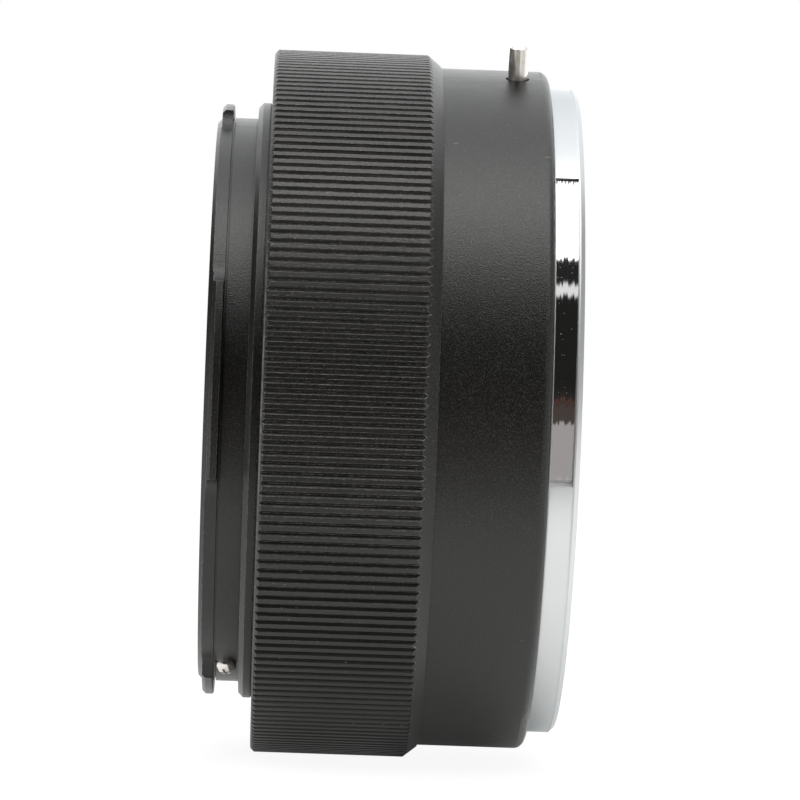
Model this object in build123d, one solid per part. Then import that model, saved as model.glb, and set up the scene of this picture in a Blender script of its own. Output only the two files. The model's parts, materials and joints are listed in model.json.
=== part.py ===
from build123d import *
import os
from math import cos, radians, sin

# Lens mount adapter: a bayonet for a lens with a long register on a bayonet for a camera with a short one.
# The optical axis is Z. The camera's contact flange lies at z = 0 and the lens is towards +Z.
# The release pin points along +X. All sizes are in millimetres and all angles in degrees.
# Lengths follow from the two registers and radii from the camera's throat, each by a named step.

# What the adapter joins: the distance between its flanges is the difference of the two registers
LENS_REGISTER = 46.5
CAMERA_REGISTER = 16.0
CAMERA_THROAT = 55.0

# Clearances
RUNNING = 0.05
END_PLAY = 0.1
HOLE_PLAY = 0.1
SPIGOT_PLAY = 0.03
HEAD_SINK = 0.05
THIN = 0.01
OVERCUT = 1.0

# Camera bayonet
NECK_PLAY = 0.15
NECK_R = CAMERA_THROAT / 2 - NECK_PLAY
NECK_LENGTH = 3.9
FRONT_Z = -NECK_LENGTH
FRONT_RING_R = NECK_R - 0.05
FRONT_CHAMFER = 0.45
GROOVE_WIDTH = 0.2
GROOVE_DEPTH = 0.25
FLANGE_REACH = 1.55
FLANGE_R = NECK_R + FLANGE_REACH
FLANGE_CHAMFER = 0.45
FLANGE_THICKNESS = 1.15
BAYONET_WALL = 3.75
BAYONET_BORE_R = NECK_R - BAYONET_WALL
SPIGOT_WALL = 1.3
SPIGOT_R = BAYONET_BORE_R + SPIGOT_WALL
SPIGOT_LENGTH = 0.9
LUG_REACH = 1.3
LUG_R = NECK_R + LUG_REACH
LUG_THICKNESS = 1.05
LUG_FRONT_Z = FRONT_Z + FRONT_CHAMFER
LUG_BACK_Z = LUG_FRONT_Z + LUG_THICKNESS
LUG_EDGE_CHAMFER = 0.3
LUG_REAR_CHAMFER = 0.12
LUG_COUNT = 4
LUG_CENTRE = 69.8
LUG_HALF_ANGLE = 23.0
LUG_GAP_R = FRONT_RING_R - 0.1
LUG_CUTTER_R = 2.5
CAMERA_LOCK_ANGLE = 300.0
CAMERA_LOCK_R = 1.15
CAMERA_LOCK_INSET = 0.1

# Camera bayonet screws, stop screw and index dot
BAYONET_SCREW_COUNT = 4
BAYONET_SCREW_INSET = 1.65
BAYONET_SCREW_PCD_R = BAYONET_BORE_R + BAYONET_SCREW_INSET
BAYONET_SCREW_ANGLE = LUG_CENTRE - 45.0
BAYONET_SCREW_R = 0.8
BAYONET_SCREW_HEAD_R = 1.3
STOP_SCREW_ANGLE = 139.7
STOP_SCREW_TURN = 20.0
STOP_SCREW_Z = LUG_BACK_Z / 2
STOP_HEAD_R = 1.0
STOP_HEAD_HEIGHT = 1.0
STOP_SHANK_R = 0.5
STOP_SHANK_LENGTH = 2.4
CAMERA_DOT_ANGLE = LUG_CENTRE + 180.0
DOT_R = 0.6
DOT_DEPTH = 0.25

# Barrel's collar, which carries the ring's inner lip between two slip washers, and its tube under the ring
COLLAR_STEP = 1.05
COLLAR_R = FLANGE_R - COLLAR_STEP
COLLAR_BORE_R = BAYONET_BORE_R + 0.2
COLLAR_LENGTH = 3.35
TUBE_STEP_Z = FLANGE_THICKNESS + COLLAR_LENGTH
COLLAR_TOP_Z = TUBE_STEP_Z + 1.0
BAYONET_SCREW_END_Z = COLLAR_TOP_Z - 0.5
LIP_HEIGHT = 3.1
TUBE_R = COLLAR_R + LIP_HEIGHT
TUBE_WALL = 2.75
TUBE_BORE_R = TUBE_R - TUBE_WALL
WASHER_THICKNESS = 0.35
LIP_R = COLLAR_R + 0.2
LIP_BACK_Z = TUBE_STEP_Z - WASHER_THICKNESS - RUNNING
WASHER_BORE_R = COLLAR_R + RUNNING

# Lens mount plate's place
LENS_FACE_Z = LENS_REGISTER - CAMERA_REGISTER
PLATE_THICKNESS = 2.8
PLATE_SEAT_Z = LENS_FACE_Z - PLATE_THICKNESS

# Ribbed aperture ring
RING_WALL = 3.15
RING_R = TUBE_R + RING_WALL
RING_SET_BACK = 0.2
RING_FRONT_Z = FLANGE_THICKNESS + RING_SET_BACK
RING_FRONT_CHAMFER = 0.36
BARREL_LENGTH = 10.7
BARREL_FRONT_Z = PLATE_SEAT_Z - BARREL_LENGTH
SKIRT_LAP = 0.38
SKIRT_EDGE = 0.13
SKIRT_ROOT_Z = BARREL_FRONT_Z - END_PLAY
RING_BACK_Z = BARREL_FRONT_Z + SKIRT_LAP
SHOULDER_LENGTH = 1.28
SHOULDER_DROP = 1.02
SHOULDER_R = RING_R - SHOULDER_DROP
SKIRT_BORE_R = SHOULDER_R - SKIRT_EDGE
RIB_END_Z = RING_BACK_Z - SHOULDER_LENGTH
RIB_COUNT = 228
RIB_DEPTH = 0.28
RIB_CREST_SHARE = 0.45
RING_TURN = 30.0
RING_BORE_R = TUBE_R + RUNNING

# Barrel
BARREL_R = SKIRT_BORE_R - RUNNING
BARREL_EDGE = 0.12
BARREL_ROUND = 0.9
INNER_FLANGE_Z = BARREL_FRONT_Z
INNER_FLANGE_CHAMFER = 1.2
LENS_DOT_ANGLE = 200.0
LENS_DOT_Z = PLATE_SEAT_Z - 2.5

# Lens mount plate
PLATE_STEP = 1.65
PLATE_R = BARREL_R - PLATE_STEP
PLATE_BEVEL = 0.4
PLATE_WIDTH = 7.55
PLATE_BORE_R = PLATE_R - PLATE_WIDTH
PLATE_INNER_BEVEL = 0.3
LENS_BORE_R = PLATE_BORE_R + 0.5
INNER_LUG_COUNT = 3
INNER_LUG_CENTRE = 40.0
INNER_LUG_HALF_ANGLE = 31.0
INNER_LUG_REACH = 1.65
INNER_LUG_SINK = 0.25
INNER_LUG_THICKNESS = 1.3
INNER_LUG_TOP_Z = LENS_FACE_Z - INNER_LUG_SINK
INNER_LUG_LOW_Z = INNER_LUG_TOP_Z - INNER_LUG_THICKNESS
THROAT_R = PLATE_BORE_R - INNER_LUG_REACH
NOTCH_ANGLES = (29.8, 86.1)
NOTCH_DEPTHS = (0.19, 1.3)
NOTCH_MIDDLE_DEPTH = 0.85
NOTCH_LOW_Z = PLATE_SEAT_Z + 0.12
NOTCH_HIGH_Z = LENS_FACE_Z - 0.56
PLATE_SCREW_COUNT = 5
PLATE_SCREW_INSET = 3.25
PLATE_SCREW_PCD_R = PLATE_R - PLATE_SCREW_INSET
PLATE_SCREW_ANGLE = 36.0
PLATE_SCREW_R = 0.85
PLATE_SCREW_HEAD_R = 1.6
PLATE_SCREW_REACH = 4.7
PLATE_SCREW_END_Z = PLATE_SEAT_Z - PLATE_SCREW_REACH

# Aperture lever, at the end of its travel where the lens is wide open
LEVER_ANGLE = 165.0
LEVER_BASE_HALF_ANGLE = 9.0
LEVER_SPAN = INNER_FLANGE_Z - TUBE_STEP_Z
LEVER_BASE_LOW_Z = TUBE_STEP_Z + 0.264 * LEVER_SPAN
LEVER_BASE_HIGH_Z = TUBE_STEP_Z + 0.776 * LEVER_SPAN
LEVER_SHEET = 1.1
LEVER_ARM_HALF_ANGLE = 4.5
LEVER_LEG_R = THROAT_R + 0.55
LEVER_TIP_R = THROAT_R - 1.25
LEVER_TOP_Z = PLATE_SEAT_Z - 2.5
LEVER_SCREW_SPREAD = 5.4
LEVER_SCREW_Z = LEVER_BASE_LOW_Z + 0.38 * (LEVER_BASE_HIGH_Z - LEVER_BASE_LOW_Z)
LEVER_SCREW_R = 0.7
LEVER_SCREW_HEAD_R = 1.25
LEVER_SCREW_HEAD_HEIGHT = 0.7
LEVER_SCREW_REACH = 2.1
WINDOW_MARGIN_ANGLE = 1.5
WINDOW_MARGIN_Z = 0.8

# Leaf springs under the inner lugs
LEAF_THICKNESS = 0.25
LEAF_INNER_R = THROAT_R + 0.2
LEAF_OUTER_R = PLATE_BORE_R - 0.15
LEAF_HALF_ANGLE = 22.0
LEAF_RIVET_R = 0.4
LEAF_RIVET_PCD_R = (LEAF_INNER_R + LEAF_OUTER_R) / 2
LEAF_RIVET_OFFSET = 16.0
LEAF_RIVET_TOP_Z = INNER_LUG_TOP_Z - 0.45

# Lens lock: pin on a sprung slider in a pocket of the barrel, pushed down by the release pin
LOCK_TRAVEL = 1.6
POCKET_INNER_X = LENS_BORE_R + 0.9
POCKET_OUTER_X = BARREL_R - 2.0
POCKET_HALF_WIDTH = 1.8
POCKET_CORNER_R = 0.5
POCKET_FLOOR_Z = BARREL_FRONT_Z + 1.4
LOCK_X = POCKET_INNER_X + 1.0
LOCK_PIN_R = 0.9
LOCK_PIN_PROUD = 0.65
LOCK_PIN_CHAMFER = 0.25
LOCK_PIN_SPIGOT_R = 0.5
LOCK_PIN_SPIGOT_LENGTH = 1.8
SLIDER_INNER_X = POCKET_INNER_X + END_PLAY
SLIDER_OUTER_X = POCKET_OUTER_X - 0.4
SLIDER_HALF_WIDTH = POCKET_HALF_WIDTH - END_PLAY
SLIDER_CORNER_R = POCKET_CORNER_R + END_PLAY
SLIDER_BOTTOM_Z = POCKET_FLOOR_Z + LOCK_TRAVEL + 1.2
SLIDER_TOP_Z = PLATE_SEAT_Z - END_PLAY
SLIDER_POST_X = LOCK_X + LOCK_PIN_R
SPRING_X = LOCK_X + 0.5
SPRING_R = 1.0
SPRING_WIRE_R = 0.14
SPRING_BORE_R = 1.25
SPRING_BORE_TOP_Z = SLIDER_BOTTOM_Z + 2.8
SPRING_TURNS = 5

# Release pin, whose ramp at 45 degrees drives the slider's ramp
PIN_R = 0.95
PIN_Z = PLATE_SEAT_Z - 3.14
PIN_PROUD = 3.25
PIN_TIP_X = BARREL_R + PIN_PROUD
PIN_TIP_CHAMFER = 0.2
PIN_HEAD_R = 1.4
PIN_HEAD_OUTER_X = POCKET_OUTER_X - END_PLAY
PIN_HEAD_LENGTH = 1.8
PIN_HEAD_INNER_X = PIN_HEAD_OUTER_X - PIN_HEAD_LENGTH
PIN_RAMP_X = PIN_HEAD_OUTER_X - 0.5
PIN_GUIDE_R = PIN_R + RUNNING
PIN_COUNTERBORE_R = PIN_R + 0.19
PIN_COUNTERBORE_DEPTH = 0.7
RAMP_GAP = 0.07

# Cross recess of the screws
RECESS_WIDTH = 0.26
RECESS_SHARE = 0.62


def polar(radius, angle):
    """Point in the XY plane at a radius and an angle."""
    return Vector(radius * cos(radians(angle)), radius * sin(radians(angle)))


def turned(*points):
    """Solid turned about Z from an outline of (radius, height) points."""
    outline = Plane.XZ * Polyline(*points, close=True)
    return revolve(make_face(outline), axis=Axis.Z)


def turned_tube(r_in, r_out, z_low, z_high):
    """Plain tube about Z."""
    return turned((r_in, z_low), (r_out, z_low), (r_out, z_high), (r_in, z_high))


def sector(r_in, r_out, z_low, z_high, start, end):
    """Part of a tube about Z between two angles."""
    corners = ((r_in, z_low), (r_out, z_low), (r_out, z_high), (r_in, z_high))
    section = Plane.XZ * Polyline(*corners, close=True)
    return Rot(0, 0, start) * revolve(make_face(section), axis=Axis.Z, revolution_arc=end - start)


def sector_about(r_in, r_out, z_low, z_high, middle, half):
    """Part of a tube about Z on both sides of a middle angle."""
    return sector(r_in, r_out, z_low, z_high, middle - half, middle + half)


def axial_rod(radius, z_low, z_high, r=0.0, angle=0.0):
    """Cylinder along Z whose axis stands at a radius and an angle."""
    rod = Cylinder(radius, z_high - z_low, align=(Align.CENTER, Align.CENTER, Align.MIN))
    return Rot(0, 0, angle) * Pos(r, 0, z_low) * rod


def radial_rod(radius, r_in, r_out, angle, z):
    """Cylinder along a radius."""
    rod = Cylinder(radius, r_out - r_in, align=(Align.CENTER, Align.CENTER, Align.MIN))
    return Rot(0, 0, angle) * Pos(r_in, 0, z) * Rot(0, 90, 0) * rod


def around(shape, count, first):
    """Copies of a shape, evenly spaced about Z."""
    return [Rot(0, 0, first + i * 360.0 / count) * shape for i in range(count)]


def cross_recess(head_r, depth):
    """Cross of two slots in the top of a screw head whose top is at z = 0."""
    long_side = 2 * head_r * RECESS_SHARE
    base = (Align.CENTER, Align.CENTER, Align.MAX)
    return Box(long_side, RECESS_WIDTH, depth, align=base) + Box(RECESS_WIDTH, long_side, depth, align=base)


def countersunk_screw(shank_r, head_r, length):
    """Countersunk screw along -Z with its flat head at z = 0."""
    cone = head_r - shank_r
    body = turned((0, 0), (head_r, 0), (shank_r, -cone), (shank_r, -length), (0, -length))
    return body - cross_recess(head_r, 0.45 * cone)


def pan_screw(shank_r, head_r, head_height, length):
    """Pan-head screw along -Z with the underside of its head at z = 0."""
    shoulder = (head_r, 0.3 * head_height)
    crown = (0.3 * head_r, head_height)
    outline = (
        Polyline((0, head_height), (0, -length), (shank_r, -length), (shank_r, 0), (head_r, 0), shoulder)
        + ThreePointArc(shoulder, (0.78 * head_r, 0.76 * head_height), crown)
        + Line(crown, (0, head_height))
    )
    body = revolve(make_face(Plane.XZ * outline), axis=Axis.Z)
    return body - Pos(0, 0, head_height) * cross_recess(head_r, 0.4 * head_height)


def countersunk_hole(shank_r, head_r, length):
    """Cutter along -Z for a countersunk screw whose head's mouth is at z = 0."""
    hole_r = shank_r + HOLE_PLAY
    mouth_r = head_r + HOLE_PLAY
    cone_z = hole_r - mouth_r
    mouth = ((0, THIN), (mouth_r + THIN, THIN), (mouth_r, 0))
    return turned(*mouth, (hole_r, cone_z), (hole_r, -length), (0, -length))


def lug_gap():
    """Cutter for the gap between two lugs, centred on +X: a round cutter runs out at both ends."""
    half = 180.0 / LUG_COUNT - LUG_HALF_ANGLE

    def run_out(side):
        middle = polar(LUG_GAP_R + LUG_CUTTER_R, side * half)
        foot = polar(LUG_GAP_R, side * half)
        bend = middle + polar(LUG_CUTTER_R, side * (half + 135))
        wall = middle + polar(LUG_CUTTER_R, side * (half + 90))
        corner = wall + polar(LUG_CUTTER_R, side * half)
        return foot, bend, wall, corner

    low_foot, low_bend, low_wall, low_corner = run_out(-1)
    high_foot, high_bend, high_wall, high_corner = run_out(1)
    outline = (
        ThreePointArc(low_foot, polar(LUG_GAP_R, 0), high_foot)
        + ThreePointArc(high_foot, high_bend, high_wall)
        + Line(high_wall, high_corner)
        + ThreePointArc(high_corner, polar(LUG_R + LUG_CUTTER_R, 0), low_corner)
        + Line(low_corner, low_wall)
        + ThreePointArc(low_wall, low_bend, low_foot)
    )
    start = FRONT_Z - OVERCUT
    return extrude(Pos(0, 0, start) * make_face(outline), LUG_BACK_Z + GROOVE_WIDTH / 2 - start)


def make_camera_bayonet():
    groove_r = FRONT_RING_R - GROOVE_DEPTH
    groove_z = LUG_BACK_Z + GROOVE_WIDTH
    spigot_z = FLANGE_THICKNESS + SPIGOT_LENGTH
    body = turned(
        (BAYONET_BORE_R, FRONT_Z),
        (FRONT_RING_R - FRONT_CHAMFER, FRONT_Z),
        (FRONT_RING_R, LUG_FRONT_Z),
        (LUG_R - LUG_EDGE_CHAMFER, LUG_FRONT_Z),
        (LUG_R, LUG_FRONT_Z + LUG_EDGE_CHAMFER),
        (LUG_R, LUG_BACK_Z - LUG_REAR_CHAMFER),
        (LUG_R - LUG_REAR_CHAMFER, LUG_BACK_Z),
        (groove_r, LUG_BACK_Z),
        (groove_r, groove_z),
        (NECK_R, groove_z),
        (NECK_R, 0),
        (FLANGE_R - FLANGE_CHAMFER, 0),
        (FLANGE_R, FLANGE_CHAMFER),
        (FLANGE_R, FLANGE_THICKNESS),
        (SPIGOT_R, FLANGE_THICKNESS),
        (SPIGOT_R, spigot_z),
        (BAYONET_BORE_R, spigot_z),
    )
    # The lugs are what four milled gaps leave of a full rim
    body -= around(lug_gap(), LUG_COUNT, LUG_CENTRE + 180.0 / LUG_COUNT)
    # Screw holes from the front
    hole = countersunk_hole(BAYONET_SCREW_R, BAYONET_SCREW_HEAD_R, spigot_z - FRONT_Z + OVERCUT)
    placed = Pos(BAYONET_SCREW_PCD_R, 0, FRONT_Z) * Rot(180, 0, 0) * hole
    body -= around(placed, BAYONET_SCREW_COUNT, BAYONET_SCREW_ANGLE)
    # Hole and flat seat of the stop screw, recess for the camera's lock and recess of the index dot
    seat_r = NECK_R - HEAD_SINK
    body -= radial_rod(STOP_SHANK_R, NECK_R - STOP_SHANK_LENGTH, FLANGE_R, STOP_SCREW_ANGLE, STOP_SCREW_Z)
    body -= radial_rod(STOP_HEAD_R + HOLE_PLAY, seat_r, FLANGE_R, STOP_SCREW_ANGLE, STOP_SCREW_Z)
    lock_r = FLANGE_R - CAMERA_LOCK_INSET
    body -= axial_rod(CAMERA_LOCK_R, -THIN, FLANGE_THICKNESS + THIN, lock_r, CAMERA_LOCK_ANGLE)
    body -= axial_rod(DOT_R, FRONT_Z - OVERCUT, FRONT_Z + DOT_DEPTH, BAYONET_SCREW_PCD_R, CAMERA_DOT_ANGLE)
    return body


def make_bayonet_screws():
    screw = countersunk_screw(BAYONET_SCREW_R, BAYONET_SCREW_HEAD_R, BAYONET_SCREW_END_Z - FRONT_Z)
    placed = Pos(BAYONET_SCREW_PCD_R, 0, FRONT_Z + HEAD_SINK) * Rot(180, 0, 0) * screw
    return Compound(children=around(placed, BAYONET_SCREW_COUNT, BAYONET_SCREW_ANGLE))


def make_stop_screw():
    screw = pan_screw(STOP_SHANK_R, STOP_HEAD_R, STOP_HEAD_HEIGHT, STOP_SHANK_LENGTH - END_PLAY)
    turned_in = Rot(0, 90, 0) * Rot(0, 0, STOP_SCREW_TURN) * screw
    return Rot(0, 0, STOP_SCREW_ANGLE) * Pos(NECK_R - HEAD_SINK, 0, STOP_SCREW_Z) * turned_in


def make_camera_dot():
    return axial_rod(DOT_R, FRONT_Z + HEAD_SINK, FRONT_Z + DOT_DEPTH, BAYONET_SCREW_PCD_R, CAMERA_DOT_ANGLE)


def lever_window():
    """Opening in the barrel's tube through which the lever reaches the ring."""
    low = LEVER_BASE_LOW_Z - WINDOW_MARGIN_Z
    high = LEVER_BASE_HIGH_Z + WINDOW_MARGIN_Z
    start = LEVER_ANGLE - LEVER_BASE_HALF_ANGLE - WINDOW_MARGIN_ANGLE
    end = LEVER_ANGLE + LEVER_BASE_HALF_ANGLE + RING_TURN + WINDOW_MARGIN_ANGLE
    return sector(TUBE_BORE_R - OVERCUT, TUBE_R + OVERCUT, low, high, start, end)


def lock_pocket():
    """Pocket for the lens lock, open towards the plate, with the release pin's hole in its outer wall."""
    plan = RectangleRounded(POCKET_OUTER_X - POCKET_INNER_X, 2 * POCKET_HALF_WIDTH, POCKET_CORNER_R)
    floor = Pos((POCKET_INNER_X + POCKET_OUTER_X) / 2, 0, POCKET_FLOOR_Z) * plan
    return [
        extrude(floor, PLATE_SEAT_Z - POCKET_FLOOR_Z + OVERCUT),
        radial_rod(PIN_GUIDE_R, POCKET_OUTER_X - OVERCUT, BARREL_R + OVERCUT, 0, PIN_Z),
        radial_rod(PIN_COUNTERBORE_R, BARREL_R - PIN_COUNTERBORE_DEPTH, BARREL_R + OVERCUT, 0, PIN_Z),
    ]


def make_main_barrel():
    seat_r = SPIGOT_R + SPIGOT_PLAY
    spigot_z = FLANGE_THICKNESS + SPIGOT_LENGTH
    round_start = (BARREL_R, PLATE_SEAT_Z - BARREL_ROUND)
    round_end = (BARREL_R - BARREL_ROUND, PLATE_SEAT_Z)
    outline = (
        Polyline(
            (seat_r, FLANGE_THICKNESS),
            (COLLAR_R, FLANGE_THICKNESS),
            (COLLAR_R, TUBE_STEP_Z),
            (TUBE_R, TUBE_STEP_Z),
            (TUBE_R, BARREL_FRONT_Z),
            (BARREL_R - BARREL_EDGE, BARREL_FRONT_Z),
            (BARREL_R, BARREL_FRONT_Z + BARREL_EDGE),
            round_start,
        )
        + RadiusArc(round_start, round_end, -BARREL_ROUND)
        + Polyline(
            round_end,
            (LENS_BORE_R, PLATE_SEAT_Z),
            (LENS_BORE_R, INNER_FLANGE_Z),
            (TUBE_BORE_R - INNER_FLANGE_CHAMFER, INNER_FLANGE_Z),
            (TUBE_BORE_R, INNER_FLANGE_Z - INNER_FLANGE_CHAMFER),
            (TUBE_BORE_R, COLLAR_TOP_Z),
            (COLLAR_BORE_R, COLLAR_TOP_Z),
            (COLLAR_BORE_R, spigot_z),
            (seat_r, spigot_z),
            (seat_r, FLANGE_THICKNESS),
        )
    )
    body = revolve(make_face(Plane.XZ * outline), axis=Axis.Z)
    body -= lever_window()
    body -= lock_pocket()
    # Tapped holes for the screws of both ends and the recess of the index dot
    bayonet_hole = axial_rod(BAYONET_SCREW_R, FLANGE_THICKNESS, COLLAR_TOP_Z + OVERCUT, BAYONET_SCREW_PCD_R)
    plate_hole_end = PLATE_SCREW_END_Z - PLATE_SCREW_R
    plate_hole = axial_rod(PLATE_SCREW_R, plate_hole_end, PLATE_SEAT_Z + OVERCUT, PLATE_SCREW_PCD_R)
    body -= around(bayonet_hole, BAYONET_SCREW_COUNT, BAYONET_SCREW_ANGLE)
    body -= around(plate_hole, PLATE_SCREW_COUNT, PLATE_SCREW_ANGLE)
    body -= radial_rod(DOT_R, BARREL_R - DOT_DEPTH, BARREL_R + OVERCUT, LENS_DOT_ANGLE, LENS_DOT_Z)
    return body


def make_lens_dot():
    return radial_rod(DOT_R, BARREL_R - DOT_DEPTH, BARREL_R - HEAD_SINK, LENS_DOT_ANGLE, LENS_DOT_Z)


def ribbed_prism(z_low, z_high):
    """Prism whose outside is a full turn of flat-topped ribs with V grooves between them."""
    pitch = 360.0 / RIB_COUNT
    half_crest = pitch * RIB_CREST_SHARE / 2
    points = []
    for i in range(RIB_COUNT):
        middle = i * pitch
        points.append(polar(RING_R, middle - half_crest))
        points.append(polar(RING_R, middle + half_crest))
        points.append(polar(RING_R - RIB_DEPTH, middle + pitch / 2))
    return extrude(Pos(0, 0, z_low) * make_face(Polyline(*points, close=True)), z_high - z_low)


def lever_screw_angles():
    return [LEVER_ANGLE - LEVER_SCREW_SPREAD, LEVER_ANGLE + LEVER_SCREW_SPREAD]


def make_aperture_ring():
    recess_z = FLANGE_THICKNESS + WASHER_THICKNESS + END_PLAY
    blank = turned(
        (LIP_R, recess_z),
        (FLANGE_R + END_PLAY, recess_z),
        (FLANGE_R + END_PLAY, RING_FRONT_Z),
        (RING_R - RING_FRONT_CHAMFER, RING_FRONT_Z),
        (RING_R, RING_FRONT_Z + RING_FRONT_CHAMFER),
        (RING_R, RIB_END_Z),
        (SHOULDER_R, RING_BACK_Z),
        (SKIRT_BORE_R, RING_BACK_Z),
        (SKIRT_BORE_R, SKIRT_ROOT_Z),
        (RING_BORE_R, SKIRT_ROOT_Z),
        (RING_BORE_R, LIP_BACK_Z),
        (LIP_R, LIP_BACK_Z),
    )
    # The grooves of the ribs run out through the front chamfer and the conical shoulder, whose thin
    # skirt covers the joint with the barrel
    ring = blank & ribbed_prism(RING_FRONT_Z - OVERCUT, RING_BACK_Z + OVERCUT)
    end_r = RING_BORE_R + LEVER_SCREW_REACH
    for angle in lever_screw_angles():
        ring -= radial_rod(LEVER_SCREW_R, RING_BORE_R - OVERCUT, end_r, angle, LEVER_SCREW_Z)
    return ring


def make_front_slip_washer():
    top = FLANGE_THICKNESS + WASHER_THICKNESS
    return turned_tube(WASHER_BORE_R, FLANGE_R - END_PLAY, FLANGE_THICKNESS, top)


def make_rear_slip_washer():
    return turned_tube(WASHER_BORE_R, TUBE_R - END_PLAY, TUBE_STEP_Z - WASHER_THICKNESS, TUBE_STEP_Z)


def make_aperture_lever():
    base_r = RING_BORE_R - LEVER_SHEET
    leg_r = LEVER_LEG_R + LEVER_SHEET
    low = LEVER_BASE_LOW_Z
    high = LEVER_BASE_HIGH_Z
    web_z = high - LEVER_SHEET
    tab_z = LEVER_TOP_Z - LEVER_SHEET
    base = sector_about(base_r, RING_BORE_R, low, high, LEVER_ANGLE, LEVER_BASE_HALF_ANGLE)
    web = sector_about(LEVER_LEG_R, RING_BORE_R, web_z, high, LEVER_ANGLE, LEVER_ARM_HALF_ANGLE)
    leg = sector_about(LEVER_LEG_R, leg_r, web_z, LEVER_TOP_Z, LEVER_ANGLE, LEVER_ARM_HALF_ANGLE)
    tab = sector_about(LEVER_TIP_R, leg_r, tab_z, LEVER_TOP_Z, LEVER_ANGLE, LEVER_ARM_HALF_ANGLE)
    lever = base + web + leg + tab
    head_r = LEVER_SCREW_HEAD_R + HOLE_PLAY
    for angle in lever_screw_angles():
        lever -= radial_rod(LEVER_SCREW_R, base_r - OVERCUT, RING_BORE_R + OVERCUT, angle, LEVER_SCREW_Z)
        # Flat seat for the round head on the curved base
        lever -= radial_rod(head_r, base_r - OVERCUT, base_r, angle, LEVER_SCREW_Z)
    return lever


def make_lever_screws():
    length = LEVER_SHEET + LEVER_SCREW_REACH - 2 * END_PLAY
    screw = pan_screw(LEVER_SCREW_R, LEVER_SCREW_HEAD_R, LEVER_SCREW_HEAD_HEIGHT, length)
    turned_out = Pos(RING_BORE_R - LEVER_SHEET, 0, LEVER_SCREW_Z) * Rot(0, -90, 0) * screw
    return Compound(children=[Rot(0, 0, angle) * turned_out for angle in lever_screw_angles()])


def rim_notch():
    """Cutter for the relief notch in the plate's rim: square ends and a floor off the rim's centre."""
    over_r = PLATE_R + OVERCUT
    start, end = NOTCH_ANGLES
    start_depth, end_depth = NOTCH_DEPTHS
    middle = (start + end) / 2
    floor_start = polar(PLATE_R - start_depth, start)
    floor_middle = polar(PLATE_R - NOTCH_MIDDLE_DEPTH, middle)
    floor_end = polar(PLATE_R - end_depth, end)
    outline = (
        ThreePointArc(floor_start, floor_middle, floor_end)
        + Line(floor_end, polar(over_r, end))
        + ThreePointArc(polar(over_r, end), polar(over_r, middle), polar(over_r, start))
        + Line(polar(over_r, start), floor_start)
    )
    return extrude(Pos(0, 0, NOTCH_LOW_Z) * make_face(outline), NOTCH_HIGH_Z - NOTCH_LOW_Z)


def inner_lug_angles():
    return [INNER_LUG_CENTRE + i * 360.0 / INNER_LUG_COUNT for i in range(INNER_LUG_COUNT)]


def leaf_rivets(z_low, z_high):
    """Rods in the places of the leaf springs' rivets."""
    angles = [angle - LEAF_RIVET_OFFSET for angle in inner_lug_angles()]
    return [axial_rod(LEAF_RIVET_R, z_low, z_high, LEAF_RIVET_PCD_R, angle) for angle in angles]


def make_lens_mount_plate():
    body = turned(
        (PLATE_BORE_R, PLATE_SEAT_Z),
        (PLATE_R, PLATE_SEAT_Z),
        (PLATE_R, LENS_FACE_Z - PLATE_BEVEL),
        (PLATE_R - PLATE_BEVEL, LENS_FACE_Z),
        (PLATE_BORE_R + PLATE_INNER_BEVEL, LENS_FACE_Z),
        (PLATE_BORE_R, LENS_FACE_Z - PLATE_INNER_BEVEL),
    )
    root_r = PLATE_BORE_R + PLATE_INNER_BEVEL / 2
    for angle in inner_lug_angles():
        body += sector_about(THROAT_R, root_r, INNER_LUG_LOW_Z, INNER_LUG_TOP_Z, angle, INNER_LUG_HALF_ANGLE)
    body -= rim_notch()
    hole = countersunk_hole(PLATE_SCREW_R, PLATE_SCREW_HEAD_R, PLATE_THICKNESS + OVERCUT)
    body -= around(Pos(PLATE_SCREW_PCD_R, 0, LENS_FACE_Z) * hole, PLATE_SCREW_COUNT, PLATE_SCREW_ANGLE)
    body -= axial_rod(LOCK_PIN_R + RUNNING, PLATE_SEAT_Z - OVERCUT, LENS_FACE_Z + OVERCUT, LOCK_X)
    body -= leaf_rivets(INNER_LUG_LOW_Z - OVERCUT, LEAF_RIVET_TOP_Z)
    return body


def make_lens_mount_screws():
    screw = countersunk_screw(PLATE_SCREW_R, PLATE_SCREW_HEAD_R, LENS_FACE_Z - PLATE_SCREW_END_Z)
    placed = Pos(PLATE_SCREW_PCD_R, 0, LENS_FACE_Z - HEAD_SINK) * screw
    return Compound(children=around(placed, PLATE_SCREW_COUNT, PLATE_SCREW_ANGLE))


def make_leaf_springs():
    low = INNER_LUG_LOW_Z - LEAF_THICKNESS
    holes = leaf_rivets(low - OVERCUT, INNER_LUG_LOW_Z + OVERCUT)
    leaves = []
    for angle, hole in zip(inner_lug_angles(), holes):
        leaf = sector_about(LEAF_INNER_R, LEAF_OUTER_R, low, INNER_LUG_LOW_Z, angle, LEAF_HALF_ANGLE)
        leaves.append(leaf - hole)
    return Compound(children=leaves)


def make_leaf_rivets():
    return Compound(children=leaf_rivets(INNER_LUG_LOW_Z - LEAF_THICKNESS, LEAF_RIVET_TOP_Z))


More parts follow.
